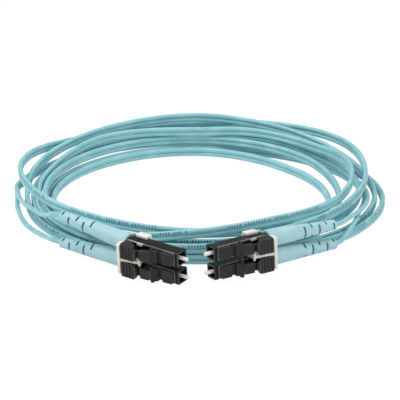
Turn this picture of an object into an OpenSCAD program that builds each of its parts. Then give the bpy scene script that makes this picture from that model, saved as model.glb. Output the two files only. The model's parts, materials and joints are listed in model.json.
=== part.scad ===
// Duplex LC to LC fibre optic patch cord, wound in a loose coil on a flat surface.
// Millimetres. The origin is on the surface, under the middle of the two plug pairs; +Z is up.
// Each plug is drawn along its own axis: x = 0 at the tip of the nose and negative towards the cable,
// y towards the latch side, z towards the outer side of the pair.

/* [Plug] */
// Outside width of the square plug
plug_w = 4.52; // [4.4:0.01:4.6]
// Distance between the axes of the two plugs in a pair
pitch = 6.25; // [6.2:0.01:6.4]
// Length of the front housing
housing_len = 13.3; // [13.1:0.1:13.5]
// Length of the plug body, from the nose to the back of the rear body
body_len = 21; // [20.8:0.1:21.1]
// Width of the square opening in the nose
socket_w = 3.5; // [3.2:0.1:3.6]
// Depth of the opening in the nose
socket_depth = 3.6; // [3.2:0.1:3.8]
// Width of the ribbed trigger
trigger_w = 5.0; // [4.6:0.1:5.1]
// Ribs on the trigger
trigger_ribs = 4; // [2:1:6]

/* [Ferrule] */
// Diameter of the ferrule
ferrule_d = 1.25; // [1.2:0.01:1.3]
// How far the ferrule stands out of the nose
ferrule_out = 2.4; // [1.8:0.1:2.6]
// Diameter of the wire of the ferrule spring
spring_wire_d = 0.26; // [0.2:0.02:0.3]
// Turns of the ferrule spring
spring_turns = 6; // [4:1:8]

/* [Boot] */
// Diameter of the boot at the plug
boot_base_d = 5.8; // [5.4:0.1:6]
// Diameter of the boot at the cable
boot_tip_d = 3.4; // [3:0.1:3.8]
// Distance from the nose to the end of the boot
boot_end = 48.4; // [48:0.1:52]
// Places along the boot that have a pair of slots
boot_slots = 5; // [3:1:5]
// How far the slots are cut in, measured from the boot's axis
slot_floor = 1.15; // [1.1:0.05:1.3]

/* [Cable] */
// Diameter of one cable leg
leg_d = 1.6; // [1.5:0.05:1.6]
// Height of the joined two-leg cable, which stands on its edge
duplex_h = 3.3; // [3.2:0.05:3.3]
// Height from one layer of the coil to the next
layer_step = 3.75; // [3.75:0.05:4]

/* [Placement] */
// Roll of the right-hand pair about its own axis
roll_right = 5; // [4:0.5:6]
// Roll of the left-hand pair about its own axis
roll_left = 4; // [3:0.5:5]
// Direction of the noses of the right-hand pair
yaw_right = 213; // [212:1:214]
// Direction of the noses of the left-hand pair
yaw_left = -37; // [-38:1:-36]

/* [Hidden] */

$fn = 48;
gap = 0.05;            // running clearance between pieces that fit in each other
half_w = plug_w / 2;
black = [0.09, 0.09, 0.1];
aqua = [0.36, 0.72, 0.76];

// Where the pieces stand
coil_middle = [-0.58, 55.32, 0];                   // middle of the coil, on the surface
nose_right = coil_middle + [4.5, -66.4, 6.47];     // middle of the right-hand pair, at the nose tips
nose_left = coil_middle + [-4.5, -70, 6.4];        // middle of the left-hand pair, at the nose tips
// A place is [middle of the pair, yaw, roll, side of the plug along the pair's own z,
// tip of the boot towards the pair's -z, bend of the boot away from the latch side]
right_upper = [nose_right, yaw_right, roll_right, 1, 2.5, 0];
right_lower = [nose_right, yaw_right, roll_right, -1, 3, 0];
left_upper = [nose_left, yaw_left, 180 + roll_left, -1, 7, -3];
left_lower = [nose_left, yaw_left, 180 + roll_left, 1, 0, -4];

// Lengths along the plug
rim_len = 1.1;                  // smooth rim round the nose
seat_len = 0.8;                 // wall that the ferrule flange rests against
chamber_r = 1.5;                // bore for the flange and the spring
flange_front = -socket_depth - seat_len - gap;
flange_len = 1.9;
flange_tail = 2.6;              // thin tube behind the flange
ferrule_back = flange_front - 1.2;
ferrule_stub_r = 0.46;          // thinner back end of the ferrule, pressed in the flange
spring_back = -housing_len + 0.3;
neck_r = 1.58;                  // neck of the rear body, under the crimp sleeve
neck_end = -24.3;
clip_front = -19.9;             // front and back of the plate behind the triggers
clip_back = -21;
boot_front = clip_back - 0.4;
sleeve_end = -27;
hollow_end = -33;               // the boot's wide bore ends here and grips the leg from here on
latch_pivot = [-1.9, 2.72];     // root of the latch arm, x and y
trigger_pivot = [-19, 2.95];    // root of the trigger, x and y
root_r = 0.42;                  // rounded roots of the latch arm and the trigger

// Puts a piece drawn along a plug's own axes in its place on the plug
module on_plug(place) {
    translate(place[0]) rotate([0, 0, place[1]]) rotate([place[2], 0, 0])
        translate([0, 0, place[3] * pitch / 2]) flip_z(place[3]) children();
}

// Puts a piece drawn along the pair's own axes in its place
module on_pair(place) {
    translate(place[0]) rotate([0, 0, place[1]]) rotate([place[2], 0, 0]) children();
}

// Turns the outer side of a plug to the other side of the pair
module flip_z(side) {
    if (side > 0) children();
    else mirror([0, 0, 1]) children();
}

// Tips and bends the boot as its place says
module drooped(place) {
    translate([boot_front, 0, 0]) rotate([0, -place[3] * place[4], 0]) rotate([0, 0, place[5]])
        translate([-boot_front, 0, 0]) children();
}

// Small shapes

// Block from x0 to x1, y0 to y1 and z0 to z1
module block(x, y, z) {
    translate([x[0], y[0], z[0]]) cube([x[1] - x[0], y[1] - y[0], z[1] - z[0]]);
}

// Square bar along x with its four long edges cut off
module bar(x, w, bevel) {
    h = w / 2;
    translate([x[0], 0, 0]) rotate([90, 0, 90]) linear_extrude(x[1] - x[0])
        polygon([[h, h - bevel], [h - bevel, h], [bevel - h, h], [-h, h - bevel],
            [-h, bevel - h], [bevel - h, -h], [h - bevel, -h], [h, bevel - h]]);
}

// Round rod or bore along x
module rod(x, r) {
    translate([x[0], 0, 0]) rotate([0, 90, 0]) cylinder(h = x[1] - x[0], r = r);
}

// Closed outline from the points on one side of the middle line
function both_sides(half) = [each half, for (i = [len(half) - 1:-1:0]) [half[i][0], -half[i][1]]];

// Side view drawn in x and y, as thick as the plug's width asks
module side_profile(points, half_thickness) {
    translate([0, 0, -half_thickness]) linear_extrude(2 * half_thickness) polygon(points);
}

// Top view drawn in x and z, from y0 to y1
module plan_profile(points, y) {
    translate([0, y[1], 0]) rotate([90, 0, 0]) linear_extrude(y[1] - y[0]) polygon(points);
}

// The plug

module housing() {
    color(black) difference() {
        union() {
            bar([-housing_len, 0], plug_w, 0.3);
            bar([-rim_len, -0.01], plug_w + 0.2, 0.3);
            block([latch_pivot[0] - 0.55, -rim_len], [half_w - 0.2, 2.62], [-2, 2]);
        }
        bar([-socket_depth, 1], socket_w, 0.2);
        rod([-socket_depth - seat_len - 1, 1], ferrule_d / 2 + 0.2);
        rod([-housing_len - 1, -socket_depth - seat_len], chamber_r);
        rod([-housing_len - 1, -housing_len + 2.2], 1.8);
        translate([latch_pivot[0], latch_pivot[1], -3]) cylinder(h = 6, r = root_r + gap);
    }
}

latch_side = [[-2.5, 2.8], [-1.75, 3.0], [-1.75, 3.6], [-5.25, 3.8], [-5.4, 3.2], [-6.8, 3.2],
    [-6.95, 4.1], [-9, 4.9], [-9.1, 5.6], [-9.4, 5.85], [-12.4, 6.05], [-12.7, 5.55], [-15.2, 5.5],
    [-15.3, 4.9], [-12.6, 4.7], [-9, 3.5], [-6.8, 2.8], [-5.3, 2.7], [-2.7, 2.6]];
latch_half_plan = [[-1, 2], [-5.35, 2], [-5.4, 1.7], [-6.8, 1.7], [-6.9, 2.1], [-8.3, 2.1], [-8.3, 2.75],
    [-9, 2.75], [-9.05, 1.65], [-12.6, 1.65], [-12.7, 1.2], [-16, 1.2]];
module latch() {
    color(black) union() {
        intersection() {
            side_profile(latch_side, 3);
            plan_profile(both_sides(latch_half_plan), [2, 7]);
        }
        translate([latch_pivot[0], latch_pivot[1], -1.9]) cylinder(h = 3.8, r = root_r);
    }
}

trigger_front = -13.4;
trigger_side = [[trigger_front - 0.3, 5.7], [trigger_front, 5.95], [trigger_front - 0.15, 6.35],
    [-14, 6.5], [-19.1, 6.5], [-19.5, 6.2], [-19.5, 3.2], [-19.3, 2.9], [-18.7, 2.9], [-18.5, 3.1],
    [-18.5, 4.9], [-17.9, 5.55], [-15, 5.68]];
skirt_side = [[-14.7, 6.3], [-14.7, 4.8], [-18.2, 3.2], [-19.4, 3.2], [-19.4, 6.3]];
module trigger() {
    half = trigger_w / 2;
    first_rib = -15.2;
    rib_step = 1.35;
    color(black) union() {
        intersection() {
            side_profile(trigger_side, half);
            plan_profile(both_sides([[trigger_front, half - 1.4], [trigger_front - 1.4, half], [-20, half]]),
                [2, 7]);
        }
        for (side = [-1, 1]) translate([0, 0, side * (half - 0.25)]) side_profile(skirt_side, 0.25);
        for (i = [0:trigger_ribs - 1])
            block([first_rib - i * rib_step, first_rib - i * rib_step + 0.75], [6.3, 6.85],
                [0.15 - half, half - 0.15]);
        translate([trigger_pivot[0], trigger_pivot[1], -2]) cylinder(h = 4, r = root_r);
    }
}

finger_x = [-15.8, -13.8];      // snap finger of the clip, through the outer side of the rear body
finger_z = [1.45, 1.95];
module rear_body() {
    color(black) difference() {
        union() {
            intersection() {
                bar([-body_len, -housing_len], plug_w, 0.3);
                plan_profile(both_sides([[-housing_len, half_w], [1.3 - body_len, half_w],
                    [0.5 - body_len, half_w - 0.3], [-body_len, half_w - 0.9]]), half_w * [-1, 1]);
            }
            rod([-housing_len - 1, -housing_len + 2.15], 1.77);
            rod([neck_end, 1 - body_len], neck_r);
            block(trigger_pivot[0] * [1, 1] + [-0.55, 0.6], [half_w - 0.3, 2.8], [-2.1, 2.1]);
        }
        rod([spring_back, 0], chamber_r);
        rod([neck_end - 1, 0], 0.55);
        block([finger_x[0] - gap, finger_x[1] + gap], [-4, 4], [finger_z[0] - gap, finger_z[1] + gap]);
        translate([trigger_pivot[0], trigger_pivot[1], -3]) cylinder(h = 6, r = root_r + gap);
    }
}

// The ferrule and what holds it

module ferrule() {
    r = ferrule_d / 2;
    color("white") rotate([0, 90, 0]) rotate_extrude()
        polygon([[0, ferrule_back], [ferrule_stub_r, ferrule_back], [ferrule_stub_r, -socket_depth],
            [r, -socket_depth], [r, ferrule_out - 0.3], [r - 0.15, ferrule_out], [0, ferrule_out]]);
}

module ferrule_flange() {
    tail_end = flange_front - flange_len - flange_tail;
    color("silver") difference() {
        union() {
            translate([flange_front - flange_len, 0, 0]) rotate([0, 90, 0])
                cylinder(h = flange_len, r = 1.35, $fn = 6);
            rod([tail_end, flange_front - 1], 0.62);
        }
        rod([ferrule_back, 0], ferrule_stub_r);
        rod([tail_end - 1, 0], 0.3);
    }
}

// Coil spring between the flange and the rear body: a round wire on a helix
spring_r = 1.05;
spring_front = flange_front - flange_len - spring_wire_d / 2 - 0.02;
spring_end = spring_back + spring_wire_d / 2 + 0.02;
spring_rings = 8 * spring_turns;
function spring_point(i) = let (a = 360 * spring_turns * i / spring_rings, s = i / spring_rings)
    [spring_front + (spring_end - spring_front) * s, spring_r * cos(a), spring_r * sin(a)];
module ferrule_spring() {
    color("silver") tube([for (i = [0:spring_rings]) spring_point(i)],
        [for (k = [0:5]) spring_wire_d / 2 * [cos(60 * k), sin(60 * k)]], [1, 0, 0]);
}

// The back end of the plug

module buffered_fibre() {
    color("white") rod([neck_end, flange_front - flange_len - flange_tail - 1.1], 0.45);
}

module crimp_sleeve() {
    color("gold") difference() {
        union() {
            rod([neck_end - 0.35, clip_back - 0.3], 1.9);
            rod([sleeve_end, neck_end - 0.1], 1.1);
        }
        rod([neck_end - gap, clip_back], neck_r + 0.02);
        rod([sleeve_end - 1, clip_back], leg_d / 2 + 0.02);
    }
}

slot_len = 0.5;
slot_step = 3;
first_slot = -35.2;
// Boot with pairs of slots, each pair a quarter turn from the one before it
module boot(first_turn) {
    length = boot_end + boot_front;
    base_len = 4;
    color(aqua) difference() {
        translate([-boot_end, 0, 0]) rotate([0, 90, 0]) union() {
            cylinder(h = length - base_len, r1 = boot_tip_d / 2, r2 = boot_base_d / 2);
            translate([0, 0, length - base_len]) cylinder(h = base_len, r = boot_base_d / 2);
        }
        rod([boot_front - 0.6, boot_front + 1], 2.05);
        rod([-25, boot_front - 0.6], 2.4);
        rod([hollow_end, boot_front], 1.95);
        rod([-boot_end - 1, boot_front], leg_d / 2 + gap);
        for (i = [0:boot_slots - 1], side = [0, 180])
            translate([first_slot - i * slot_step, 0, 0]) rotate([first_turn + 90 * i + side, 0, 0])
                block(slot_len / 2 * [-1, 1], [slot_floor, 4], [-4, 4]);
    }
}

// The clip that holds two plugs side by side
clip_half_z = 5.5;
clip_plate = [[2.4, clip_half_z - 1], [4.2, clip_half_z], [5.9, clip_half_z], [6.6, clip_half_z - 0.7]];
web_half = 0.55;
web_side = [[clip_back, -3.3], [-13, -3.3], [-12.4, 0.6], [-13.3, 4.4], [clip_back, 5.2]];
spine_side = [[-13.3, 4.3], [-13.4, 5.4], [clip_front, 6.5], [clip_back, 6.5], [clip_back, 4.3]];
star_x = -13.5;
star_end = [[4.2, 0.45], [5.2, 1.25], [5.4, 0.45], [5.4, -0.45], [5.2, -1.25], [4.2, -0.45]];
lip_x = [-18.8, -14.3];
module duplex_clip() {
    plug_z = pitch / 2 * [1, 1];
    color("ivory") union() {
        translate([clip_back, 0, 0]) rotate([90, 0, 90]) linear_extrude(clip_front - clip_back)
            polygon(both_sides(clip_plate));
        side_profile(web_side, web_half);
        side_profile(spine_side, 0.42);
        translate([star_x, 0, 0]) rotate([90, 0, 90]) linear_extrude(0.7) polygon(star_end);
        block([clip_back, lip_x[1]], [-3.3, -2.5], clip_half_z * [-1, 1]);
        for (side = [-1, 1]) flip_z(side) {
            block(lip_x, [-3.3, -0.7], [5.45, 6.2]);
            block(finger_x, [-3, 2.65], plug_z + finger_z);
            block(finger_x, [2.32, 2.65], plug_z + [finger_z[0], 2.2]);
        }
    }
}

// The cable

// A tube along points: one ring of the outline at each point, kept upright, and a cap on each end
function unit(v) = v / norm(v);
function heading(p, i) = unit(p[min(i + 1, len(p) - 1)] - p[max(i - 1, 0)]);
function ring(p, i, outline, up) = let (t = heading(p, i), side = unit(cross(t, up)), top = cross(side, t))
    [for (o = outline) p[i] + o[0] * side + o[1] * top];
module tube(p, outline, up = [0, 0, 1]) {
    n = len(outline);
    last = len(p) - 1;
    polyhedron([for (i = [0:last]) each ring(p, i, outline, up)], [
        for (k = [1:n - 2]) [0, k + 1, k],
        for (i = [0:last - 1], k = [0:n - 1]) let (a = i * n + k, b = i * n + (k + 1) % n)
            each [[a, b, a + n], [b, b + n, a + n]],
        for (k = [1:n - 2]) [last * n, last * n + k, last * n + k + 1]]);
}

// Height of the middle of the joined cable where it lies on the surface
duplex_mid = duplex_h / 2;
leg_lift = duplex_h / 4;
leg_outline = [for (k = [0:7]) leg_d / 2 * [cos(45 * k), sin(45 * k)]];
duplex_outline = [[0.8, 0.85], [0, duplex_mid], [-0.8, 0.85], [-0.8, -0.85], [0, -duplex_mid], [0.8, -0.85]];

// The coil. Stations stand round it at these angles, from the front and over the left side.
station = [0, 40, 75, 108, 140, 180, 204, 228, 265, 298, 330];
// How far each turn of the cable lies from the middle of the coil at the stations, a row for each turn
reach = [
    [64.3, 64.3, 64.3, 64.3, 61.6, 60.6, 61.2, 62.4, 64.8, 60.2, 54.1],
    [53.0, 55.0, 57.8, 60.0, 57.3, 55.5, 56.6, 58.4, 62.0, 57.6, 52.0],
    [50.9, 52.9, 55.7, 57.8, 58.0, 57.0, 57.3, 56.0, 56.4, 54.0, 50.2],
    [48.8, 48.2, 49.3, 50.1, 49.5, 49.0, 46.8, 44.8, 45.6, 46.2, 46.5],
    [47.5, 51.0, 57.0, 63.6, 60.3, 57.2, 62.2, 65.4, 59.0, 55.4, 53.4],
    [52.8, 54.6, 54.8, 54.6, 54.6, 50.3, 52.6, 52.8, 53.6, 53.1, 51.2],
    [50.7, 52.5, 52.7, 52.4, 52.3, 51.6, 50.7, 49.8, 49.4, 49.5, 49.7],
    [48.6, 50.6, 52.1, 52.2, 51.6, 51.3, 53.4, 56.6, 59.3, 59.5, 59.5]];
// Layer of the pile that each turn lies in at the stations, 0 on the surface
layer = [
    [0, 0, 0, 0, 0, 0, 0, 0, 0, 0, 0],
    [0, 0, 0, 1.4, 2.45, 3, 2.6, 1.95, 0.5, 0, 0],
    [0, 0, 0, 0.35, 0.7, 1, 1.15, 1.1, 1, 1, 1],
    [1, 1, 0.5, 0, 0, 0, 0, 0, 0, 0.55, 1.5],
    [1.85, 2.25, 2.3, 2.3, 1.75, 2, 2.1, 2.1, 2.15, 2, 1.85],
    [1, 1, 1, 1.2, 2, 2, 2.1, 2.1, 2.85, 2.6, 2.7],
    [2.17, 1.1, 1, 1, 1, 1, 1, 1, 0.5, 0, 0],
    [0, 0, 0, 0, 0, 0, 0, 0, 0, 0, 0]];
coil_start = 105;               // the cable's two ends, as angles run through
coil_end = 7 * 360 + 255;
coil_step = 15;                 // 24 rings in each turn

// Smooth value of a table at an angle: a cubic from station to station that never overshoots
stations = len(station);
function angle_at(i) = 360 * floor(i / stations) + station[i % stations];
function value_at(table, i) = table[floor(i / stations)][i % stations];
function secant(table, i) =
    (value_at(table, i + 1) - value_at(table, i)) / (angle_at(i + 1) - angle_at(i));
function slope(table, i) = i <= 0 || i >= stations * len(table) - 1 ? 0 :
    let (a = secant(table, i - 1), b = secant(table, i)) a * b > 0 ? 2 * a * b / (a + b) : 0;
function station_before(angle) = let (turn = floor(angle / 360), rest = angle - 360 * turn)
    turn * stations + max([for (j = [0:stations - 1]) if (station[j] <= rest) j]);
function smooth(table, angle) = let (i = station_before(angle), width = angle_at(i + 1) - angle_at(i),
    s = (angle - angle_at(i)) / width)
    value_at(table, i) * (1 + 2 * s) * pow(1 - s, 2) + value_at(table, i + 1) * s * s * (3 - 2 * s)
    + width * (slope(table, i) * s * pow(1 - s, 2) - slope(table, i + 1) * s * s * (1 - s));
// Point at an angle, a distance from the middle and a height
function coil_point(angle, distance, height) =
    coil_middle + [-distance * sin(angle), -distance * cos(angle), height];
function duplex_point(angle) = coil_point(angle, smooth(reach, angle),
    duplex_mid + layer_step * smooth(layer, angle));
duplex_route = [for (a = [coil_start:coil_step:coil_end]) duplex_point(a)];
module duplex_cable() {
    color(aqua) tube(duplex_route, duplex_outline);
}

// Least gap between two turns of the coil, between their outlines at the same angle round it
function to_segment(p, a, b) = let (d = b - a, s = max(0, min(1, (p - a) * d / (d * d)))) norm(p - a - s * d);
function outline_gap(a, b) = min([for (p = a, j = [0:len(b) - 1]) to_segment(p, b[j], b[(j + 1) % len(b)])]);
function outline_at(angle) = let (at = [smooth(reach, angle), duplex_mid + layer_step * smooth(layer, angle)])
    [for (o = duplex_outline) at + o];
turn_outlines = [for (a = [coil_start:coil_step:coil_start + 345])
    [for (b = [a:360:coil_end]) outline_at(b)]];
least_gap = min([for (t = turn_outlines, i = [0:len(t) - 1], j = [0:len(t) - 1])
    if (i != j) outline_gap(t[i], t[j])]);
echo(least_gap_of_coil_mm = least_gap);  // duplex_cable

// The legs

// Route of each leg from its boot to the joined cable: angle, distance from the middle, height
route_left_upper = [[58, 59.6, 8.4], [68, 59.6, 7.0], [79, 60.2, 4.8], [91, 62.2, 3.0]];
route_left_lower = [[59, 60.4, 1.3], [70, 61.4, 0.85], [82, 62.0, 0.85], [93, 62.9, 0.85]];
route_right_upper = [[300, 59.2, 7.2], [291, 59.4, 6.6], [282, 59.2, 5.6], [273, 59.0, 4.7],
    [264, 58.9, 3.6]];
route_right_lower = [[300, 60.2, 4.9], [292, 58.4, 4.6], [284, 57.3, 3.3], [277, 57.5, 2.2],
    [269, 58.2, 1.3], [262, 58.7, 0.95]];

function turned(v, axis, angle) = v * cos(angle) + cross(axis, v) * sin(angle)
    + axis * (axis * v) * (1 - cos(angle));
// Point on a plug's own axes, in the frame of the whole part, with the boot's droop
function pair_axis(place) = [cos(place[1]), sin(place[1]), 0];
function pair_side(place) = let (n = pair_axis(place)) turned([0, 0, 1], n, place[2]);
function plug_point(place, x) = place[0] + x * pair_axis(place) + place[3] * pitch / 2 * pair_side(place);
function boot_point(place, x) = let (tip = place[4], bend = place[5],
    axis = pair_axis(place), side = pair_side(place)) plug_point(place, boot_front) + (x - boot_front)
    * (cos(bend) * (cos(tip) * axis + sin(tip) * side) + sin(bend) * cross(side, axis));
// Direction in which the joined cable runs out at its start or its end
function cable_end(angle) = let (inward = angle > coil_start ? -coil_step : coil_step)
    unit(duplex_point(angle) - duplex_point(angle + inward));
function route_points(route) = [for (r = route) coil_point(r[0], r[1], r[2])];
function leg_points(place, route, end_angle, lift) = [
    for (x = [neck_end - gap, sleeve_end - 0.3]) plug_point(place, x),
    for (x = [hollow_end + 1, -41, -boot_end]) boot_point(place, x),
    each route_points(route),
    let (e = duplex_point(end_angle) + [0, 0, lift]) each [e + leg_d * cable_end(end_angle), e]];
// Smooth curve from b to c, where a and d are the points before and after them
function curve(a, b, c, d, s) =
    0.5 * (2 * b + (c - a) * s + (2 * a - 5 * b + 4 * c - d) * s * s + (3 * b - a - 3 * c + d) * pow(s, 3));
// Straight up to the end of the boot, then one smooth curve that meets the joined cable in its own direction
boot_tip = 4;                   // number of the point at the end of the boot
function smooth_route(p) = let (last = len(p) - 1, first = boot_tip,
    lead = p[first + 1] - 2 * norm(p[first + 1] - p[first]) * unit(p[first] - p[first - 1]),
    tail = p[last - 2] + 2 * norm(p[last - 1] - p[last - 2]) * unit(p[last] - p[last - 1]))
    [for (i = [0:first - 1]) p[i], for (i = [first:last - 2], s = [0, 0.25, 0.5, 0.75])
        curve(i == first ? lead : p[i - 1], p[i], p[i + 1], i == last - 2 ? tail : p[i + 2], s),
    p[last - 1], p[last]];
module leg(place, route, end_angle, lift) {
    color(aqua) tube(smooth_route(leg_points(place, route, end_angle, lift)), leg_outline);
}

duplex_cable();
on_pair(left_upper) duplex_clip();  // duplex_clip_left
on_pair(right_upper) duplex_clip();  // duplex_clip_right
leg(left_upper, route_left_upper, coil_start, leg_lift);  // leg_left_upper
leg(left_lower, route_left_lower, coil_start, -leg_lift);  // leg_left_lower
leg(right_upper, route_right_upper, coil_end, leg_lift);  // leg_right_upper
leg(right_lower, route_right_lower, coil_end, -leg_lift);  // leg_right_lower
on_plug(left_upper) housing();  // housing_left_upper
on_plug(left_lower) housing();  // housing_left_lower
on_plug(right_upper) housing();  // housing_right_upper
on_plug(right_lower) housing();  // housing_right_lower
on_plug(left_upper) latch();  // latch_left_upper
on_plug(left_lower) latch();  // latch_left_lower
on_plug(right_upper) latch();  // latch_right_upper
on_plug(right_lower) latch();  // latch_right_lower
on_plug(left_upper) trigger();  // trigger_left_upper
on_plug(left_lower) trigger();  // trigger_left_lower
on_plug(right_upper) trigger();  // trigger_right_upper
on_plug(right_lower) trigger();  // trigger_right_lower
on_plug(left_upper) rear_body();  // rear_body_left_upper
on_plug(left_lower) rear_body();  // rear_body_left_lower
on_plug(right_upper) rear_body();  // rear_body_right_upper
on_plug(right_lower) rear_body();  // rear_body_right_lower
on_plug(left_upper) ferrule();  // ferrule_left_upper
on_plug(left_lower) ferrule();  // ferrule_left_lower
on_plug(right_upper) ferrule();  // ferrule_right_upper
on_plug(right_lower) ferrule();  // ferrule_right_lower
on_plug(left_upper) ferrule_flange();  // ferrule_flange_left_upper
on_plug(left_lower) ferrule_flange();  // ferrule_flange_left_lower
on_plug(right_upper) ferrule_flange();  // ferrule_flange_right_upper
on_plug(right_lower) ferrule_flange();  // ferrule_flange_right_lower
on_plug(left_upper) ferrule_spring();  // ferrule_spring_left_upper
on_plug(left_lower) ferrule_spring();  // ferrule_spring_left_lower
on_plug(right_upper) ferrule_spring();  // ferrule_spring_right_upper
on_plug(right_lower) ferrule_spring();  // ferrule_spring_right_lower
on_plug(left_upper) buffered_fibre();  // buffered_fibre_left_upper
on_plug(left_lower) buffered_fibre();  // buffered_fibre_left_lower
on_plug(right_upper) buffered_fibre();  // buffered_fibre_right_upper
on_plug(right_lower) buffered_fibre();  // buffered_fibre_right_lower
on_plug(left_upper) crimp_sleeve();  // crimp_sleeve_left_upper
on_plug(left_lower) crimp_sleeve();  // crimp_sleeve_left_lower
on_plug(right_upper) crimp_sleeve();  // crimp_sleeve_right_upper
on_plug(right_lower) crimp_sleeve();  // crimp_sleeve_right_lower
on_plug(left_upper) drooped(left_upper) boot(90);  // boot_left_upper
on_plug(left_lower) drooped(left_lower) boot(90);  // boot_left_lower
on_plug(right_upper) drooped(right_upper) boot(0);  // boot_right_upper
on_plug(right_lower) drooped(right_lower) boot(90);  // boot_right_lower
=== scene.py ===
import json
import math
import bpy
import bmesh
from mathutils import Matrix, Vector

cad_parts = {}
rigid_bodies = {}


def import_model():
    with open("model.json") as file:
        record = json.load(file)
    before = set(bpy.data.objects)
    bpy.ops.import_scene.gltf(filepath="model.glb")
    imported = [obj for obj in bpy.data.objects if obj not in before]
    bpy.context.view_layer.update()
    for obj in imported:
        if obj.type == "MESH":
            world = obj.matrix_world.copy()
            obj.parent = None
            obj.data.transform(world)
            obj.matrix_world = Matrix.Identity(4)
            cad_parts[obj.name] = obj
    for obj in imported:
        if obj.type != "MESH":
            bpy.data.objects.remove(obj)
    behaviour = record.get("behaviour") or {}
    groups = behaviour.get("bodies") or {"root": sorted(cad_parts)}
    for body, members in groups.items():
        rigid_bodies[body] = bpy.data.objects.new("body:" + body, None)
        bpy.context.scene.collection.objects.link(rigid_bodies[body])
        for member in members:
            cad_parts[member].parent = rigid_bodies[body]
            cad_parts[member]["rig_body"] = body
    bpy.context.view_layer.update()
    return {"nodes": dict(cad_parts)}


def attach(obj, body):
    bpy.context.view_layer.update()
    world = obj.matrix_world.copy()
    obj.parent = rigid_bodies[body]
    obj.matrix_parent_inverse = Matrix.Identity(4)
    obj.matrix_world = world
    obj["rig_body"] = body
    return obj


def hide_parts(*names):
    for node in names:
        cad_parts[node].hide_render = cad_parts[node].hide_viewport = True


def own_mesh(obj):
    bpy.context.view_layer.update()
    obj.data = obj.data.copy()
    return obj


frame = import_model()
scene = bpy.context.scene
mm = 0.001                      # lengths below are in millimetres, but those of the stage are in metres

# Where the coil and the two plug pairs stand, as in the CAD model
coilMiddle = Vector((-0.58, 55.32, 0.0))
plugPitch = 6.25
pairRight = {"nose": coilMiddle + Vector((4.5, -66.4, 6.47)), "yaw": 213, "roll": 5}
pairLeft = {"nose": coilMiddle + Vector((-4.5, -70.0, 6.4)), "yaw": -37, "roll": 184}
# side: which way along the pair's own z; tip and bend: how the boot points away from its plug, in degrees;
# slotTurn: the way that the boot's first slot faces
plugs = {
    "right_upper": {"pair": pairRight, "side": 1, "tip": 2.5, "bend": 0, "slotTurn": 0},
    "right_lower": {"pair": pairRight, "side": -1, "tip": 3, "bend": 0, "slotTurn": 90},
    "left_upper": {"pair": pairLeft, "side": -1, "tip": 7, "bend": -3, "slotTurn": 90},
    "left_lower": {"pair": pairLeft, "side": 1, "tip": 0, "bend": -4, "slotTurn": 90},
}
# Stations along a plug, counted from its nose; legInPlug and legInBoot are on the way of a leg
plugShape = {"bootFront": -21.4, "bootEnd": -48.4, "legInPlug": (-24.35, -27.3),
             "legInBoot": (-32, -41, -48.4)}


def pieceName(kind, place):     # boot and left_upper give bootLeftUpper
    return kind + "".join(word.capitalize() for word in place.split("_"))


def newObject(name, data):
    item = bpy.data.objects.new(name, data)
    scene.collection.objects.link(item)
    return item


cameraSetup = {"fromCoil": (1.045, -614.1, 241.9), "down": 21.38, "lens": 170.5, "sensor": 36.0,
               "nearest": 10.0}


def makeCamera(setup):
    data = bpy.data.cameras.new("camera")
    data.lens = setup["lens"]
    data.sensor_width = setup["sensor"]
    data.clip_start = setup["nearest"] * mm
    camera = newObject("camera", data)
    camera.location = (coilMiddle + Vector(setup["fromCoil"])) * mm
    camera.rotation_euler = (math.radians(90 - setup["down"]), 0, 0)
    scene.camera = camera
    print("camera placed")


makeCamera(cameraSetup)


class Wire:                     # one output socket, usable in sums and products
    def __init__(self, sketch, node, output=0):
        self.sketch = sketch
        self.node = node
        self.socket = node.outputs[output] if len(node.outputs) else None

    def output(self, name):
        return Wire(self.sketch, self.node, name)

    def join(self, operation, first, second):
        return self.sketch.add("ShaderNodeMath", {"operation": operation}, {0: first, 1: second})

    def __add__(self, other):
        return self.join("ADD", self, other)

    def __radd__(self, other):
        return self.join("ADD", other, self)

    def __sub__(self, other):
        return self.join("SUBTRACT", self, other)

    def __rsub__(self, other):
        return self.join("SUBTRACT", other, self)

    def __mul__(self, other):
        return self.join("MULTIPLY", self, other)

    def __rmul__(self, other):
        return self.join("MULTIPLY", other, self)

    def __truediv__(self, other):
        return self.join("DIVIDE", self, other)

    def __rtruediv__(self, other):
        return self.join("DIVIDE", other, self)

    def __mod__(self, other):
        return self.join("FLOORED_MODULO", self, other)

    def __rmod__(self, other):
        return self.join("FLOORED_MODULO", other, self)

    def __gt__(self, other):
        return self.join("GREATER_THAN", self, other)

    def __lt__(self, other):
        return self.join("LESS_THAN", self, other)

    def __abs__(self):
        return self.join("ABSOLUTE", self, 0.0)

    def orMore(self, other):    # the larger of the two
        return self.join("MAXIMUM", self, other)


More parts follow.
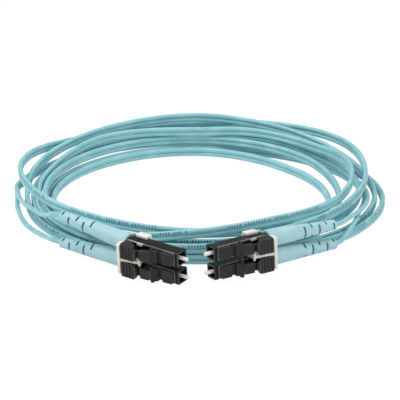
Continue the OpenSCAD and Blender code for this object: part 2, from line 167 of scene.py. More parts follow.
class Sketch:                   # a node tree, with one method that adds any node
    def __init__(self, tree):
        self.tree = tree

    def add(self, kind, settings=None, sockets=None, output=0):
        node = self.tree.nodes.new(kind)
        for name, value in (settings or {}).items():
            if name == "stops":
                self.setStops(node.color_ramp, value)
            else:
                setattr(node, name, value)
        for name, value in (sockets or {}).items():
            if isinstance(value, Wire):
                self.tree.links.new(value.socket, node.inputs[name])
            else:
                node.inputs[name].default_value = value
        return Wire(self, node, output)

    def setStops(self, ramp, stops):            # stops are pairs of a place and a colour
        while len(ramp.elements) < len(stops):
            ramp.elements.new(1.0)
        for element, (place, tint) in zip(ramp.elements, stops):
            element.position = place
            element.color = tint

    def mix(self, factor, first, second):       # colour mix
        return self.add("ShaderNodeMix", {"data_type": "RGBA"}, {0: factor, 6: first, 7: second}, 2)

    def noise(self, place, scale, detail, roughness=0.5):
        return self.add("ShaderNodeTexNoise", None,
                        {"Vector": place, "Scale": scale, "Detail": detail, "Roughness": roughness})

    def between(self, value, low, high):        # 0 below low, 1 above high, smooth in the middle
        return self.add("ShaderNodeMapRange", {"interpolation_type": "SMOOTHSTEP"},
                        {"Value": value, "From Min": low, "From Max": high, "To Min": 0.0, "To Max": 1.0})

    def attribute(self, name, output="Fac"):
        return self.add("ShaderNodeAttribute", {"attribute_name": name}).output(output)

    def place(self):                            # the piece's own coordinates, in metres
        return self.add("ShaderNodeTexCoord").output("Object")

    def section(self):                          # where on a strand's cross-section, in metres
        return self.add("ShaderNodeSeparateXYZ", None, {0: self.attribute("section", "Vector")})


def straightLight(shown):       # from the 0 to 1 scale of a display to scene light
    if shown <= 0.04045:
        return shown / 12.92
    return ((shown + 0.055) / 1.055) ** 2.4


def colour(red, green, blue):   # from the 0 to 255 scale of a display
    return (straightLight(red / 255), straightLight(green / 255), straightLight(blue / 255), 1.0)


def newMaterial(name, fixed):
    material = bpy.data.materials.new(name)
    material.use_nodes = True
    sketch = Sketch(material.node_tree)
    shader = material.node_tree.nodes["Principled BSDF"]
    for socket, value in fixed.items():
        shader.inputs[socket].default_value = value
    return material, sketch, shader


def connect(sketch, shader, look, baseColour, grain, height):
    roughness = look["smoothest"] + look["uneven"] * grain
    raised = sketch.add("ShaderNodeBump", None, {
        "Strength": look["bump"], "Distance": look["bumpDepth"] * mm, "Height": height})
    sketch.tree.links.new(baseColour.socket, shader.inputs["Base Color"])
    sketch.tree.links.new(roughness.socket, shader.inputs["Roughness"])
    sketch.tree.links.new(raised.socket, shader.inputs["Normal"])


def cloudedColour(sketch, place, look):         # patches of the deep colour in the full one
    cloud = sketch.noise(place, *look["cloud"])
    return sketch.mix(sketch.between(cloud, *look["cloudRange"]), look["deep"], look["colour"])


# In the looks cloud, grain, lines and brush give a noise's scale and detail, and its roughness if not 0.5.
# Roughness is smoothest plus uneven times the grain.
jacketLook = {"colour": colour(156, 210, 216), "deep": colour(139, 199, 207), "cloud": (160.0, 2.0),
              "cloudRange": (0.35, 0.7), "grain": (2600.0, 3.0), "grainShare": 0.6, "lines": (60.0, 2.0),
              "stretch": 60, "smoothest": 0.32, "uneven": 0.18, "bump": 0.5, "bumpDepth": 0.04}
ticks = {"ink": colour(52, 88, 96), "faintest": 0.6, "step": 0.92, "share": 0.5, "missing": 0.16,
         "height": 0.42, "shortest": 0.65, "spread": 0.45, "middle": -1.05, "side": -0.3,
         "groupStep": 46.0, "groupLength": 34.0}


def printedTicks(sketch, grain):                # plain ticks in groups, along one side of the upper leg
    along = sketch.attribute("along")
    section = sketch.section()
    step = ticks["step"] * mm
    cell = (along % step) / step
    number = along / step - cell
    size = sketch.add("ShaderNodeTexWhiteNoise", {"noise_dimensions": "1D"}, {"W": number})
    inGroup = (along % (ticks["groupStep"] * mm)) < ticks["groupLength"] * mm
    inCell = (abs(cell - 0.5) < ticks["share"] / 2) * (size > ticks["missing"])
    tall = (size * ticks["spread"] + ticks["shortest"]) * ticks["height"] * mm
    onLine = abs(section.output("Y") - ticks["middle"] * mm) < tall
    outside = section.output("X") < ticks["side"] * mm
    return inGroup * inCell * onLine * outside * (ticks["faintest"] + (1 - ticks["faintest"]) * grain)


def aquaJacket(name, look, printed):
    material, sketch, shader = newMaterial(name, {
        "Specular IOR Level": 0.42, "Coat Weight": 0.08, "Coat Roughness": 0.3})
    place = sketch.place()
    grain = sketch.noise(place, *look["grain"])
    base = cloudedColour(sketch, place, look)
    if printed:
        base = sketch.mix(printedTicks(sketch, grain), base, ticks["ink"])
    # fine lines that run along the jacket, from the die it was drawn through
    section = sketch.section()
    stretched = sketch.add("ShaderNodeCombineXYZ", None, {
        "X": section.output("X") * look["stretch"], "Y": section.output("Y") * look["stretch"],
        "Z": sketch.attribute("along")})
    lines = sketch.noise(stretched, *look["lines"])
    height = grain * look["grainShare"] + lines * (1 - look["grainShare"])
    connect(sketch, shader, look, base, grain, height)
    return material


# the slots are painted a darker, more saturated teal as their shade, mixed in by how deep each side lies
bootLook = {"colour": colour(176, 213, 220), "deep": colour(167, 206, 213), "inSlot": colour(38, 158, 167),
            "cloud": (240.0, 2.0), "cloudRange": (0.3, 0.7), "slotRange": (0.05, 0.6),
            "grain": (4200.0, 4.0, 0.6), "smoothest": 0.4, "uneven": 0.2, "bump": 0.45, "bumpDepth": 0.03}


def aquaBoot(look):
    material, sketch, shader = newMaterial("aquaBoot", {
        "Specular IOR Level": 0.38, "Subsurface Weight": 0.06, "Subsurface Radius": (0.0005, 0.001, 0.001)})
    place = sketch.place()
    grain = sketch.noise(place, *look["grain"])
    # painted shade in the slots
    sunk = sketch.between(sketch.attribute("sunk"), *look["slotRange"])
    base = sketch.mix(sunk, cloudedColour(sketch, place, look), look["inSlot"])
    connect(sketch, shader, look, base, grain, grain)
    return material


# The edges carry a painted highlight, a lighter colour with clouds in it, and a coat that catches more
# light
blackLook = {"cloud": (420.0, 3.0), "grain": (7000.0, 2.0, 0.6), "uneven": 0.1, "bump": 0.35,
             "bumpDepth": 0.02, "shine": 0.14, "edgeLeast": 0.35, "edgeClouds": 0.75, "coat": 0.08,
             "edgeCoat": 0.85}
# edge is the colour of the painted highlight on the edges
glossBlackLook = blackLook | {
    "colour": colour(19, 18, 17), "edge": colour(124, 124, 120), "smoothest": 0.25}
mattBlackLook = blackLook | {
    "colour": colour(45, 44, 42), "edge": colour(68, 67, 64), "smoothest": 0.41}


def blackPlastic(name, look):
    material, sketch, shader = newMaterial(name, {
        "Specular IOR Level": look["shine"], "Coat Roughness": 0.1})
    place = sketch.place()
    cloud = sketch.noise(place, *look["cloud"])
    grain = sketch.noise(place, *look["grain"])
    worn = sketch.attribute("worn")
    lighter = worn * (look["edgeLeast"] + cloud * look["edgeClouds"])
    base = sketch.mix(lighter, look["colour"], look["edge"])
    sketch.tree.links.new((look["coat"] + look["edgeCoat"] * worn).socket, shader.inputs["Coat Weight"])
    connect(sketch, shader, look, base, cloud + grain, grain)
    return material


clipLook = {"colour": colour(238, 238, 231), "deep": colour(226, 225, 214), "cloud": (300.0, 3.0),
            "cloudRange": (0.35, 0.7), "grain": (5200.0, 2.0), "smoothest": 0.28, "uneven": 0.14,
            "bump": 0.3, "bumpDepth": 0.02}


def whiteClip(look):
    material, sketch, shader = newMaterial("whiteClip", {
        "Specular IOR Level": 0.5, "Subsurface Weight": 0.12, "Subsurface Radius": (0.0012, 0.001, 0.0008)})
    place = sketch.place()
    grain = sketch.noise(place, *look["grain"])
    connect(sketch, shader, look, cloudedColour(sketch, place, look), grain, grain)
    return material


ceramicLook = {"colour": colour(240, 241, 238), "deep": colour(228, 230, 227), "cloud": (900.0, 2.0),
               "grain": (12000.0, 2.0), "smoothest": 0.16, "uneven": 0.1, "bump": 0.3, "bumpDepth": 0.005}


def whiteCeramic(look):
    material, sketch, shader = newMaterial("whiteCeramic", {
        "IOR": 1.9, "Coat Weight": 0.25, "Coat Roughness": 0.05})
    place = sketch.place()
    cloud = sketch.noise(place, *look["cloud"])
    grain = sketch.noise(place, *look["grain"])
    connect(sketch, shader, look, sketch.mix(cloud, look["deep"], look["colour"]), grain, grain)
    return material


metalLook = {"cloud": (700.0, 3.0), "places": (0.3, 0.55, 0.8), "uneven": 0.2, "bump": 0.4,
             "bumpDepth": 0.006}
nickelLook = metalLook | {"brush": (5200.0, 2.0, 0.7), "smoothest": 0.23, "tints": (
    colour(176, 177, 178), colour(200, 200, 198), colour(214, 214, 212))}
springLook = metalLook | {"brush": (9000.0, 2.0, 0.7), "smoothest": 0.25, "tints": (
    colour(140, 141, 143), colour(168, 168, 167), colour(190, 190, 188))}
brassLook = metalLook | {"brush": (6000.0, 2.0, 0.7), "smoothest": 0.29, "tints": (
    colour(170, 142, 92), colour(198, 172, 120), colour(218, 196, 148))}


def metal(name, look):
    material, sketch, shader = newMaterial(name, {"Metallic": 1.0})
    place = sketch.place()
    cloud = sketch.noise(place, *look["cloud"])
    grain = sketch.noise(place, *look["brush"])
    stops = list(zip(look["places"], look["tints"]))
    base = sketch.add("ShaderNodeValToRGB", {"stops": stops}, {0: cloud})
    connect(sketch, shader, look, base, grain, grain)
    return material


bufferLook = {"colour": colour(232, 232, 226), "deep": colour(214, 214, 205), "cloud": (1200.0, 2.0),
              "smoothest": 0.45, "uneven": 0.1, "bump": 0.3, "bumpDepth": 0.01}


def bufferCoat(look):
    material, sketch, shader = newMaterial("bufferCoat", {"Specular IOR Level": 0.4})
    cloud = sketch.noise(sketch.place(), *look["cloud"])
    connect(sketch, shader, look, sketch.mix(cloud, look["deep"], look["colour"]), cloud, cloud)
    return material


finishes = {
    "printedJacket": aquaJacket("printedJacket", jacketLook, True),
    "plainJacket": aquaJacket("plainJacket", jacketLook, False),
    "boot": aquaBoot(bootLook),
    "glossBlack": blackPlastic("glossBlack", glossBlackLook),
    "mattBlack": blackPlastic("mattBlack", mattBlackLook),
    "clip": whiteClip(clipLook),
    "ceramic": whiteCeramic(ceramicLook),
    "nickel": metal("nickel", nickelLook),
    "springSteel": metal("springSteel", springLook),
    "brass": metal("brass", brassLook),
    "buffer": bufferCoat(bufferLook),
}
print("finishes made:", len(finishes))

# The cable's route: the same tables and formulas as in the CAD model.
# Stations stand round the coil at these angles; a row of distances and a row of layers for each turn.
station = (0, 40, 75, 108, 140, 180, 204, 228, 265, 298, 330)
reach = (
    (64.3, 64.3, 64.3, 64.3, 61.6, 60.6, 61.2, 62.4, 64.8, 60.2, 54.1),
    (53.0, 55.0, 57.8, 60.0, 57.3, 55.5, 56.6, 58.4, 62.0, 57.6, 52.0),
    (50.9, 52.9, 55.7, 57.8, 58.0, 57.0, 57.3, 56.0, 56.4, 54.0, 50.2),
    (48.8, 48.2, 49.3, 50.1, 49.5, 49.0, 46.8, 44.8, 45.6, 46.2, 46.5),
    (47.5, 51.0, 57.0, 63.6, 60.3, 57.2, 62.2, 65.4, 59.0, 55.4, 53.4),
    (52.8, 54.6, 54.8, 54.6, 54.6, 50.3, 52.6, 52.8, 53.6, 53.1, 51.2),
    (50.7, 52.5, 52.7, 52.4, 52.3, 51.6, 50.7, 49.8, 49.4, 49.5, 49.7),
    (48.6, 50.6, 52.1, 52.2, 51.6, 51.3, 53.4, 56.6, 59.3, 59.5, 59.5))
layer = (
    (0, 0, 0, 0, 0, 0, 0, 0, 0, 0, 0),
    (0, 0, 0, 1.4, 2.45, 3, 2.6, 1.95, 0.5, 0, 0),
    (0, 0, 0, 0.35, 0.7, 1, 1.15, 1.1, 1, 1, 1),
    (1, 1, 0.5, 0, 0, 0, 0, 0, 0, 0.55, 1.5),
    (1.85, 2.25, 2.3, 2.3, 1.75, 2, 2.1, 2.1, 2.15, 2, 1.85),
    (1, 1, 1, 1.2, 2, 2, 2.1, 2.1, 2.85, 2.6, 2.7),
    (2.17, 1.1, 1, 1, 1, 1, 1, 1, 0.5, 0, 0),
    (0, 0, 0, 0, 0, 0, 0, 0, 0, 0, 0))
cable = {"legDiameter": 1.6, "height": 3.3, "layerStep": 3.75, "start": 105, "end": 7 * 360 + 255,
         "ringAngle": 3.0, "endStep": 15.0, "webHalf": 0.2, "arcPoints": 19, "ringStep": 2.6}
legShape = {"ringStep": 0.6, "sides": 28, "straightTo": 4, "steps": 10}
# The legs' routes from the boots to the joined cable: angle, distance from the middle, height
legRoutes = {
    "left_upper": ((58, 59.6, 8.4), (68, 59.6, 7), (79, 60.2, 4.8), (91, 62.2, 3)),
    "left_lower": ((59, 60.4, 1.3), (70, 61.4, 0.85), (82, 62, 0.85), (93, 62.9, 0.85)),
    "right_upper": ((300, 59.2, 7.2), (291, 59.4, 6.6), (282, 59.2, 5.6), (273, 59, 4.7), (264, 58.9, 3.6)),
    "right_lower": ((300, 60.2, 4.9), (292, 58.4, 4.6), (284, 57.3, 3.3), (277, 57.5, 2.2),
                    (269, 58.2, 1.3), (262, 58.7, 0.95)),
}


class SmoothTable:              # a cubic from station to station that never overshoots
    def __init__(self, table):
        self.values = [v for row in table for v in row]
        self.angles = [360 * turn + s for turn in range(len(table)) for s in station]
        steps = [(self.values[i + 1] - self.values[i]) / (self.angles[i + 1] - self.angles[i])
                 for i in range(len(self.values) - 1)]
        inner = [2 * a * b / (a + b) if a * b > 0 else 0 for a, b in zip(steps, steps[1:])]
        self.slopes = [0] + inner + [0]

    def at(self, angle):
        i = max(k for k, a in enumerate(self.angles[:-1]) if a <= angle)
        width = self.angles[i + 1] - self.angles[i]
        s = (angle - self.angles[i]) / width
        return (self.values[i] * (1 + 2 * s) * (1 - s) ** 2 + self.values[i + 1] * s * s * (3 - 2 * s)
                + width * (self.slopes[i] * s * (1 - s) ** 2 - self.slopes[i + 1] * s * s * (1 - s)))


reachAt = SmoothTable(reach)
layerAt = SmoothTable(layer)


def coilPoint(angle, distance, height):
    a = math.radians(angle)
    return coilMiddle + Vector((-distance * math.sin(a), -distance * math.cos(a), height))


def cablePoint(angle):
    return coilPoint(angle, reachAt.at(angle), cable["height"] / 2 + cable["layerStep"] * layerAt.at(angle))


def pairMatrix(pair):
    return (Matrix.Translation(pair["nose"]) @ Matrix.Rotation(math.radians(pair["yaw"]), 4, "Z")
            @ Matrix.Rotation(math.radians(pair["roll"]), 4, "X"))


def plugMatrix(plug):           # from a plug's own axes to the model's, both in millimetres
    side = plug["side"]
    return (pairMatrix(plug["pair"]) @ Matrix.Translation((0, 0, side * plugPitch / 2))
            @ Matrix.Diagonal((1, 1, side, 1)))


def bootMatrix(plug):
    front = plugShape["bootFront"]
    return (plugMatrix(plug) @ Matrix.Translation((front, 0, 0))
            @ Matrix.Rotation(math.radians(-plug["side"] * plug["tip"]), 4, "Y")
            @ Matrix.Rotation(math.radians(plug["bend"]), 4, "Z") @ Matrix.Translation((-front, 0, 0)))


def cableEnd(angle):            # direction in which the joined cable runs out at one of its ends
    inward = -cable["endStep"] if angle > cable["start"] else cable["endStep"]
    return (cablePoint(angle) - cablePoint(angle + inward)).normalized()


def legPoints(name):
    plug = plugs[name]
    endAngle = cable["start"] if name.startswith("left") else cable["end"]
    lift = cable["height"] / 4 * (1 if name.endswith("upper") else -1)
    end = cablePoint(endAngle) + Vector((0, 0, lift))
    inPlug = [plugMatrix(plug) @ Vector((x, 0, 0)) for x in plugShape["legInPlug"]]
    inBoot = [bootMatrix(plug) @ Vector((x, 0, 0)) for x in plugShape["legInBoot"]]
    return (inPlug + inBoot + [coilPoint(*p) for p in legRoutes[name]]
            + [end + cable["legDiameter"] * cableEnd(endAngle), end])


# Straight up to the point numbered first, then one smooth curve that ends in the last two points' direction
def curveThrough(points, first, steps):
    last = len(points) - 1
    heading = (points[first] - points[first - 1]).normalized()
    ending = (points[last] - points[last - 1]).normalized()
    lead = points[first + 1] - heading * 2 * (points[first + 1] - points[first]).length
    tail = points[last - 2] + ending * 2 * (points[last - 1] - points[last - 2]).length
    smooth = points[:first]
    for i in range(first, last - 1):
        before = lead if i == first else points[i - 1]
        after = tail if i == last - 2 else points[i + 2]
        a = points[i]
        b = points[i + 1]
        for k in range(steps):
            s = k / steps
            smooth.append(0.5 * (2 * a + (b - before) * s + (2 * before - 5 * a + 4 * b - after) * s * s
                                 + (3 * a - before - 3 * b + after) * s ** 3))
    return smooth + [points[last - 1], points[last]]


def newTree(name, sockets, result):     # its sketch and its inputs
    tree = bpy.data.node_groups.new(name, "GeometryNodeTree")
    for label, kind in sockets.items():
        tree.interface.new_socket(label, in_out="INPUT", socket_type="NodeSocket" + kind)
    tree.interface.new_socket(result, in_out="OUTPUT", socket_type="NodeSocketGeometry")
    sketch = Sketch(tree)
    return sketch, sketch.add("NodeGroupInput")


def closeTree(sketch, inputs, swept):   # one plain mesh with its finish
    single = sketch.add("GeometryNodeRealizeInstances", None, {0: swept})
    finished = sketch.add("GeometryNodeSetMaterial", None, {
        "Geometry": single, "Material": inputs.output("Finish")})
    sketch.add("NodeGroupOutput", None, {0: finished})
    return sketch.tree


def sweepTree():
    sketch, inputs = newTree("sweepAlongRoute", {
        "Route": "Geometry", "Section": "Object", "Ring Step": "Float", "Finish": "Material"}, "Tube")
    rings = sketch.add("GeometryNodeResampleCurve", {"mode": "LENGTH"}, {
        "Curve": inputs.output("Route"), "Length": inputs.output("Ring Step")})
    upright = sketch.add("GeometryNodeSetCurveNormal", {"mode": "Z_UP"}, {"Curve": rings})
    length = sketch.add("GeometryNodeSplineParameter").output("Length")
    along = sketch.add("GeometryNodeStoreNamedAttribute", {"data_type": "FLOAT", "domain": "POINT"},
                       {"Geometry": upright, "Name": "along", "Value": length})
    drawn = sketch.add("GeometryNodeObjectInfo", None, {"Object": inputs.output("Section")})
    place = sketch.add("GeometryNodeInputPosition")
    section = sketch.add("GeometryNodeStoreNamedAttribute",
                         {"data_type": "FLOAT_VECTOR", "domain": "POINT"},
                         {"Geometry": drawn.output("Geometry"), "Name": "section", "Value": place})
    tube = sketch.add("GeometryNodeCurveToMesh", None, {
        "Curve": along, "Profile Curve": section, "Fill Caps": True})
    return closeTree(sketch, inputs, tube)


def setInput(modifier, name, value):
    item = next(i for i in modifier.node_group.interface.items_tree
                if i.item_type == "SOCKET" and i.in_out == "INPUT" and i.name == name)
    modifier[item.identifier] = value


def polyCurve(name, points, closed=False):
    data = bpy.data.curves.new(name, "CURVE")
    data.dimensions = "3D"
    spline = data.splines.new("POLY")
    spline.points.add(len(points) - 1)
    for target, p in zip(spline.points, points):
        target.co = (*p, 1)
    spline.use_cyclic_u = closed
    return newObject(name, data)


def roundSection(points, radius):
    return [(radius * math.cos(2 * math.pi * k / points), radius * math.sin(2 * math.pi * k / points), 0)
            for k in range(points)]


def figureEight(size):          # two round legs, one above the other, joined by a thin web
    radius = size["legDiameter"] / 2
    middle = size["height"] / 2 - radius
    opening = math.asin(size["webHalf"] / radius)
    arc = [-math.pi / 2 + opening + (2 * math.pi - 2 * opening) * k / (size["arcPoints"] - 1)
           for k in range(size["arcPoints"])]
    upper = [(radius * math.cos(a), middle + radius * math.sin(a), 0) for a in arc]
    return upper + [(-x, -y, 0) for x, y, _ in upper]


def asMesh(item, name):         # the evaluated object as one plain mesh at the origin
    evaluated = item.evaluated_get(bpy.context.evaluated_depsgraph_get())
    mesh = bpy.data.meshes.new_from_object(evaluated)
    mesh.name = name
    made = newObject(name, mesh)
    bpy.data.objects.remove(item)
    return made


sweep = sweepTree()


def tubeAlong(name, points, section, ringStep, finish):
    route = polyCurve(name + "Route", [p * mm for p in points])
    outline = polyCurve(name + "Section", [Vector(p) * mm for p in section], closed=True)
    modifier = route.modifiers.new("sweep", "NODES")
    modifier.node_group = sweep
    setInput(modifier, "Section", outline)
    setInput(modifier, "Ring Step", ringStep * mm)
    setInput(modifier, "Finish", finish)
    bpy.context.view_layer.update()
    tube = asMesh(route, name)
    bpy.data.objects.remove(outline)
    for polygon in tube.data.polygons:          # the end caps stay flat
        polygon.use_smooth = len(polygon.vertices) == 4
    return tube


def lengthOf(points):
    return sum((b - a).length for a, b in zip(points, points[1:]))


def settle(piece, rides, node):           # what the piece moves with and stands for
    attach(piece, rides)
    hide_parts(node)


def makeCable():
    count = round((cable["end"] - cable["start"]) / cable["ringAngle"])
    points = [cablePoint(cable["start"] + cable["ringAngle"] * k) for k in range(count + 1)]
    tube = tubeAlong("duplexCable", points, figureEight(cable), cable["ringStep"],
                     finishes["printedJacket"])
    settle(tube, "root", "duplex_cable")
    length = lengthOf(points)
    print("joined cable, mm:", round(length))


def makeLeg(place):
    points = curveThrough(legPoints(place), legShape["straightTo"], legShape["steps"])
    section = roundSection(legShape["sides"], cable["legDiameter"] / 2)
    tube = tubeAlong(pieceName("leg", place), points, section, legShape["ringStep"],
                     finishes["plainJacket"])
    settle(tube, "root", "leg_" + place)
    length = lengthOf(points)
    tuple(points[0] * mm)
    [tuple(p * mm) for p in points]
    print("leg", place, "mm:", round(length, 1))


makeCable()
for place in plugs:
    makeLeg(place)


# A shell of rings along the plug's own axis. Each ring is a station, one radius for each side
# and the share of painted slot shade on each side, from 0 to 1, by how deep that side lies in a slot.
def shellOfRings(name, rings, toModel, finish, sharpAngle):
    mesh = bmesh.new()
    depth = mesh.verts.layers.float.new("sunk")
    rows = []
    for x, radii, slotShades in rings:
        row = []
        for k, radius in enumerate(radii):
            angle = 2 * math.pi * k / len(radii)
            place = Vector((x, radius * math.cos(angle), radius * math.sin(angle)))
            point = mesh.verts.new(toModel @ place * mm)
            point[depth] = slotShades[k]
            row.append(point)
        rows.append(row)
    sides = len(rows[0])
    for first, second in zip(rows, rows[1:]):
        for k in range(sides):
            mesh.faces.new((first[k], first[(k + 1) % sides], second[(k + 1) % sides], second[k]))
    mesh.faces.new(rows[0][::-1])
    mesh.faces.new(rows[-1])
    bmesh.ops.recalc_face_normals(mesh, faces=mesh.faces)
    data = bpy.data.meshes.new(name)
    mesh.to_mesh(data)
    mesh.free()
    data.shade_smooth()
    data.set_sharp_from_angle(angle=math.radians(sharpAngle))
    data.materials.append(finish)
    return newObject(name, data)


def plainRing(x, radius, sides):
    return (x, [radius] * sides, [0.0] * sides)


boot = {"baseRadius": 2.9, "tipRadius": 1.7, "baseLength": 4.0, "slotHalf": 0.33, "slotEdge": 0.07,
        "slotFloor": 1.15, "firstSlot": -35.2, "slotStep": 3.0, "slots": 5, "shadeDepth": 0.4,
        "flattest": 0.05, "bore": 0.87, "boreRim": 0.12, "boreDepth": 2.0, "frontBore": 2.05,
        "frontDepth": 0.6, "frontLip": 0.25, "rim": 0.28, "sides": 96, "ringStep": 0.8, "rings": 16,
        "sharpAngle": 38}


def bootRadius(x):              # outer radius at a station along the plug
    taperStart = plugShape["bootFront"] - boot["baseLength"]
    share = min(1, max(0, (taperStart - x) / (taperStart - plugShape["bootEnd"])))
    return boot["baseRadius"] + (boot["tipRadius"] - boot["baseRadius"]) * share


def rimLoss(distance):          # what a rounded rim takes off the radius near an end
    if distance >= boot["rim"]:
        return 0.0
    inside = 1 - distance / boot["rim"]
    return boot["rim"] * (1 - math.sqrt(max(0, 1 - inside * inside)))


def bootStations(slots):
    front = plugShape["bootFront"] + boot["frontLip"]
    end = plugShape["bootEnd"]
    half = boot["slotHalf"]
    edge = boot["slotEdge"]
    offsets = [half - edge, half - edge / 2, half, half + edge / 2, half + edge, half + 2 * edge]
    rounded = [boot["rim"] * (1 - math.cos(math.radians(a))) for a in (0, 30, 60, 90)]
    stations = [front - r for r in rounded] + [end + r for r in rounded]
    stations += [front - boot["ringStep"] * k for k in range(1, boot["rings"] + 1)]
    stations += [s + sign * o for s in slots for o in offsets for sign in (-1, 1)]
    stations += slots + [s + boot["slotStep"] / 2 for s in slots]
    return sorted(set(round(s, 4) for s in stations), reverse=True)


def bootRings(slotTurn):
    front = plugShape["bootFront"] + boot["frontLip"]
    end = plugShape["bootEnd"]
    edge = boot["slotEdge"]
    slots = [boot["firstSlot"] - i * boot["slotStep"] for i in range(boot["slots"])]
    rings = []
    for x in bootStations(slots):
        outer = bootRadius(x) - rimLoss(front - x) - rimLoss(x - end)
        radii = [outer] * boot["sides"]
        slotShades = [0.0] * boot["sides"]
        for i, s in enumerate(slots):
            share = min(1, max(0, (boot["slotHalf"] + edge - abs(x - s)) / (2 * edge)))
            if share == 0:
                continue
            for k in range(boot["sides"]):
                angle = 2 * math.pi * k / boot["sides"] - math.radians(slotTurn + 90 * i)
                floor = boot["slotFloor"] / max(abs(math.cos(angle)), boot["flattest"])
                if floor < outer:
                    radii[k] = outer - share * (outer - floor)
                    # painted slot shade, stronger where the slot floor lies deeper
                    slotShades[k] = share * min(1, (outer - floor) / boot["shadeDepth"])
        rings.append((x, radii, slotShades))
    return rings


def makeBoot(place):
    plug = plugs[place]
    sides = boot["sides"]
    front = plugShape["bootFront"] + boot["frontLip"]
    end = plugShape["bootEnd"]
    inside = [plainRing(front - boot["frontDepth"], boot["frontBore"], sides),
              plainRing(front, boot["frontBore"], sides)]
    tip = [plainRing(end, boot["bore"] + boot["boreRim"], sides),
           plainRing(end + boot["boreRim"], boot["bore"], sides),
           plainRing(end + boot["boreDepth"], boot["bore"], sides)]
    piece = shellOfRings(pieceName("boot", place), inside + bootRings(plug["slotTurn"]) + tip,
                         bootMatrix(plug), finishes["boot"], boot["sharpAngle"])
    settle(piece, "root", "boot_" + place)


for place in plugs:
    makeBoot(place)
print("boots made")


# nose: pairs of a distance behind the tip and a radius; body: pairs of a station and a radius
ferrule = {"tip": 2.4, "sides": 64, "sharpAngle": 30,
           "nose": ((0, 0.12), (0.006, 0.28), (0.02, 0.4), (0.045, 0.46), (0.09, 0.495), (0.3, 0.605),
                    (0.36, 0.625)),
           "body": ((-3.55, 0.625), (-3.6, 0.585), (-3.6, 0.46), (-5.65, 0.46))}


def makeFerrule(place):
    nose = [(ferrule["tip"] - behind, radius) for behind, radius in ferrule["nose"]]
    rings = [plainRing(x, radius, ferrule["sides"]) for x, radius in nose + list(ferrule["body"])]
    piece = shellOfRings(pieceName("ferrule", place), rings, plugMatrix(plugs[place]), finishes["ceramic"],
                         ferrule["sharpAngle"])
    settle(piece, "ferrule_" + place, "ferrule_" + place)


for place in plugs:
    makeFerrule(place)
print("ferrules made")


# The springs behind the ferrule flanges: one tree winds them all
spring = {"radius": 1.05, "wire": 0.26, "turns": 6.0, "front": -6.5, "back": -12.85, "seat": -13.0,
          "shortest": 0.846, "pointsPerTurn": 32, "wireSides": 12}


def springTree():
    sketch, inputs = newTree("woundSpring", {
        "Radius": "Float", "Wire Radius": "Float", "Turns": "Float", "Length": "Float",
        "Points Per Turn": "Int", "Finish": "Material"}, "Spring")
    helix = sketch.add("GeometryNodeCurveSpiral", None, {
        "Resolution": inputs.output("Points Per Turn"), "Rotations": inputs.output("Turns"),
        "Start Radius": inputs.output("Radius"), "End Radius": inputs.output("Radius"),
        "Height": inputs.output("Length")})
    section = sketch.add("GeometryNodeCurvePrimitiveCircle", {"mode": "RADIUS"}, {
        "Resolution": spring["wireSides"], "Radius": inputs.output("Wire Radius")})
    wire = sketch.add("GeometryNodeCurveToMesh", None, {
        "Curve": helix, "Profile Curve": section, "Fill Caps": True})
    return closeTree(sketch, inputs, wire)


winding = springTree()


def makeSpring(place):
    carrier = newObject("springDraft", bpy.data.meshes.new("springDraft"))
    modifier = carrier.modifiers.new("winding", "NODES")
    modifier.node_group = winding
    setInput(modifier, "Radius", spring["radius"] * mm)
    setInput(modifier, "Wire Radius", spring["wire"] / 2 * mm)
    setInput(modifier, "Turns", spring["turns"])
    setInput(modifier, "Length", (spring["front"] - spring["back"]) * mm)
    setInput(modifier, "Points Per Turn", spring["pointsPerTurn"])
    setInput(modifier, "Finish", finishes["springSteel"])
    bpy.context.view_layer.update()
    piece = asMesh(carrier, pieceName("spring", place))
    toModel = plugMatrix(plugs[place])
    standing = (Matrix.Scale(mm, 4) @ toModel @ Matrix.Translation((spring["back"], 0, 0))
                @ Matrix.Rotation(math.radians(90), 4, "Y") @ Matrix.Scale(1 / mm, 4))
    piece.data.transform(standing)
    mesh = bmesh.new()
    mesh.from_mesh(piece.data)
    bmesh.ops.recalc_face_normals(mesh, faces=mesh.faces)
    mesh.to_mesh(piece.data)
    mesh.free()
    piece.data.shade_smooth()
    settle(piece, "root", "ferrule_spring_" + place)
    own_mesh(piece)


for place in plugs:
    makeSpring(place)
print("springs wound")


# Moulded and turned pieces: copies of the CAD solids with their edges rounded
rounding = {"housing": 0.13, "rear_body": 0.13, "latch": 0.09, "trigger": 0.1, "duplex_clip": 0.1,
            "ferrule_flange": 0.05, "crimp_sleeve": 0.05}
finishOf = {"duplex_cable": "printedJacket", "leg": "plainJacket", "boot": "boot", "housing": "glossBlack",
            "rear_body": "glossBlack", "latch": "mattBlack", "trigger": "mattBlack", "duplex_clip": "clip",
            "ferrule": "ceramic", "ferrule_flange": "nickel", "ferrule_spring": "springSteel",
            "crimp_sleeve": "brass", "buffered_fibre": "buffer"}
noseRim = {"depth": 0.5, "worn": 0.3}   # the painted highlight on the edges round the opening of a plug is fainter
# Points nearer than join become one, turns under flat degrees are no edge, those over sharp are rounded.
# A face that is longer round than strip and narrower than stripWidth gets the edges' painted highlight.
edgeCut = {"join": 0.002, "flat": 0.5, "sharp": 28, "segments": 2, "strip": 8.0, "stripWidth": 0.45}


def narrow(data, face):         # a long strip such as a chamfer
    corners = [data.vertices[v].co for v in face.vertices]
    around = sum((a - b).length for a, b in zip(corners, corners[1:] + corners[:1]))
    return around > edgeCut["strip"] * mm and 2 * face.area / around < edgeCut["stripWidth"] * mm


def edgeHighlightShare(data, face, toPlug):   # share of the painted edge highlight: 1 on the edges, less at the nose, 0 elsewhere
    if not (face.material_index or narrow(data, face)):
        return 0.0
    atNose = toPlug and (toPlug @ (face.center / mm)).x > -noseRim["depth"]
    return noseRim["worn"] if atNose else 1.0


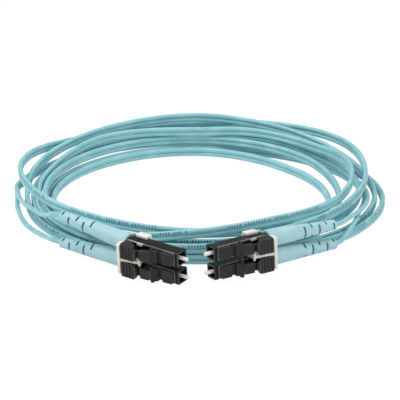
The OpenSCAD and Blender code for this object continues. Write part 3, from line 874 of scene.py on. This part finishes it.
def roundedCopy(node, width, finish):
    mesh = bmesh.new()
    mesh.from_mesh(frame["nodes"][node].data)
    bmesh.ops.remove_doubles(mesh, verts=mesh.verts, dist=edgeCut["join"] * mm)
    bmesh.ops.dissolve_limit(mesh, angle_limit=math.radians(edgeCut["flat"]), verts=mesh.verts,
                             edges=mesh.edges)
    data = bpy.data.meshes.new(node)
    mesh.to_mesh(data)
    mesh.free()
    data.shade_smooth()
    for turn in range(2):       # the second one marks the faces that the rounding makes
        data.materials.append(finish)
    item = newObject(node + "Draft", data)
    bevel = item.modifiers.new("edges", "BEVEL")
    bevel.width = width * mm
    bevel.segments = edgeCut["segments"]
    bevel.limit_method = "ANGLE"
    bevel.angle_limit = math.radians(edgeCut["sharp"])
    bevel.use_clamp_overlap = True
    bevel.harden_normals = True
    bevel.material = 1
    bpy.context.view_layer.update()
    piece = asMesh(item, pieceName("rounded", node))
    # marks the rounded edges and chamfers that get the painted highlight in the black finishes
    worn = piece.data.attributes.new("worn", "FLOAT", "FACE")
    toPlug = next((plugMatrix(plug).inverted() for place, plug in plugs.items()
                   if node == "housing_" + place), None)
    worn.data.foreach_set("value", [edgeHighlightShare(piece.data, face, toPlug) for face in piece.data.polygons])
    piece.data.materials.clear()
    piece.data.materials.append(finish)
    return piece


def family(node):               # the sub-part's name without its place in the assembly
    return next(f for f in sorted(finishOf, key=len, reverse=True) if node.startswith(f))


for node in sorted(frame["nodes"]):
    item = frame["nodes"][node]
    kind = family(node)
    finish = finishes[finishOf[kind]]
    item.data.materials.clear()
    item.data.materials.append(finish)
    if kind in rounding:
        settle(roundedCopy(node, rounding[kind], finish), item["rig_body"], node)
print("moulded pieces made")


# The stage, in metres
studio = {"floorHalf": 3.0, "floorColour": 0.88, "glow": 1.03, "glowShare": 0.93, "low": 0.3, "high": 0.73}
lamps = {
    "key": {"place": (-0.62, 0.02, 0.7), "size": (0.4, 0.4), "power": 3.1},
    "side": {"place": (0.62, 0.0, 0.72), "size": (0.3, 0.3), "power": 0.55},
    "front": {"place": (0.7, -0.65, 0.28), "size": (0.5, 0.4), "power": 1.7},
    "top": {"place": (0.0, 0.12, 0.95), "size": (0.7, 0.5), "power": 1.3},
}


def seenWhite(sketch):          # 1 for the camera and for what shines or lets light through
    path = sketch.add("ShaderNodeLightPath")
    shining = path.output("Is Camera Ray").orMore(path.output("Is Glossy Ray"))
    return shining.orMore(path.output("Is Transmission Ray"))


def floorFinish():
    material = bpy.data.materials.new("paleFloor")
    material.use_nodes = True
    material.node_tree.nodes.clear()
    sketch = Sketch(material.node_tree)
    shade = studio["floorColour"]
    matt = sketch.add("ShaderNodeBsdfDiffuse", None, {"Color": (shade, shade, shade, 1)})
    glow = sketch.add("ShaderNodeEmission", None, {"Color": (1, 1, 1, 1), "Strength": studio["glow"]})
    mixed = sketch.add("ShaderNodeMixShader", None, {
        0: seenWhite(sketch) * studio["glowShare"], 1: matt, 2: glow})
    sketch.add("ShaderNodeOutputMaterial", None, {0: mixed})
    return material


def makeFloor():
    half = studio["floorHalf"]
    mesh = bpy.data.meshes.new("floor")
    mesh.from_pydata([(-half, -half, 0), (half, -half, 0), (half, half, 0), (-half, half, 0)], [],
                     [(0, 1, 2, 3)])
    mesh.materials.append(floorFinish())
    newObject("floor", mesh)


def makeWorld():
    world = bpy.data.worlds.new("studio")
    scene.world = world
    world.use_nodes = True
    world.node_tree.nodes.clear()
    sketch = Sketch(world.node_tree)
    seen = sketch.add("ShaderNodeLightPath").output("Is Camera Ray")
    direction = sketch.add("ShaderNodeTexCoord").output("Generated")
    upward = sketch.add("ShaderNodeSeparateXYZ", None, {0: direction}).output("Z")
    strength = studio["low"] + studio["high"] * upward * upward
    strength = strength + seen * (1 - strength)
    glow = sketch.add("ShaderNodeBackground", None, {"Color": (1, 1, 1, 1), "Strength": strength})
    sketch.add("ShaderNodeOutputWorld", None, {0: glow})


def makeLamp(name, lamp):
    data = bpy.data.lights.new(name, "AREA")
    data.shape = "RECTANGLE"
    data.size, data.size_y = lamp["size"]
    data.energy = lamp["power"]
    item = newObject(name, data)
    item.location = lamp["place"]
    aim = coilMiddle * mm - Vector(lamp["place"])
    item.rotation_euler = aim.to_track_quat("-Z", "Y").to_euler()


makeFloor()
makeWorld()
for name, lamp in lamps.items():
    makeLamp(name, lamp)
scene.view_settings.view_transform = "Standard"

print("scene ready")
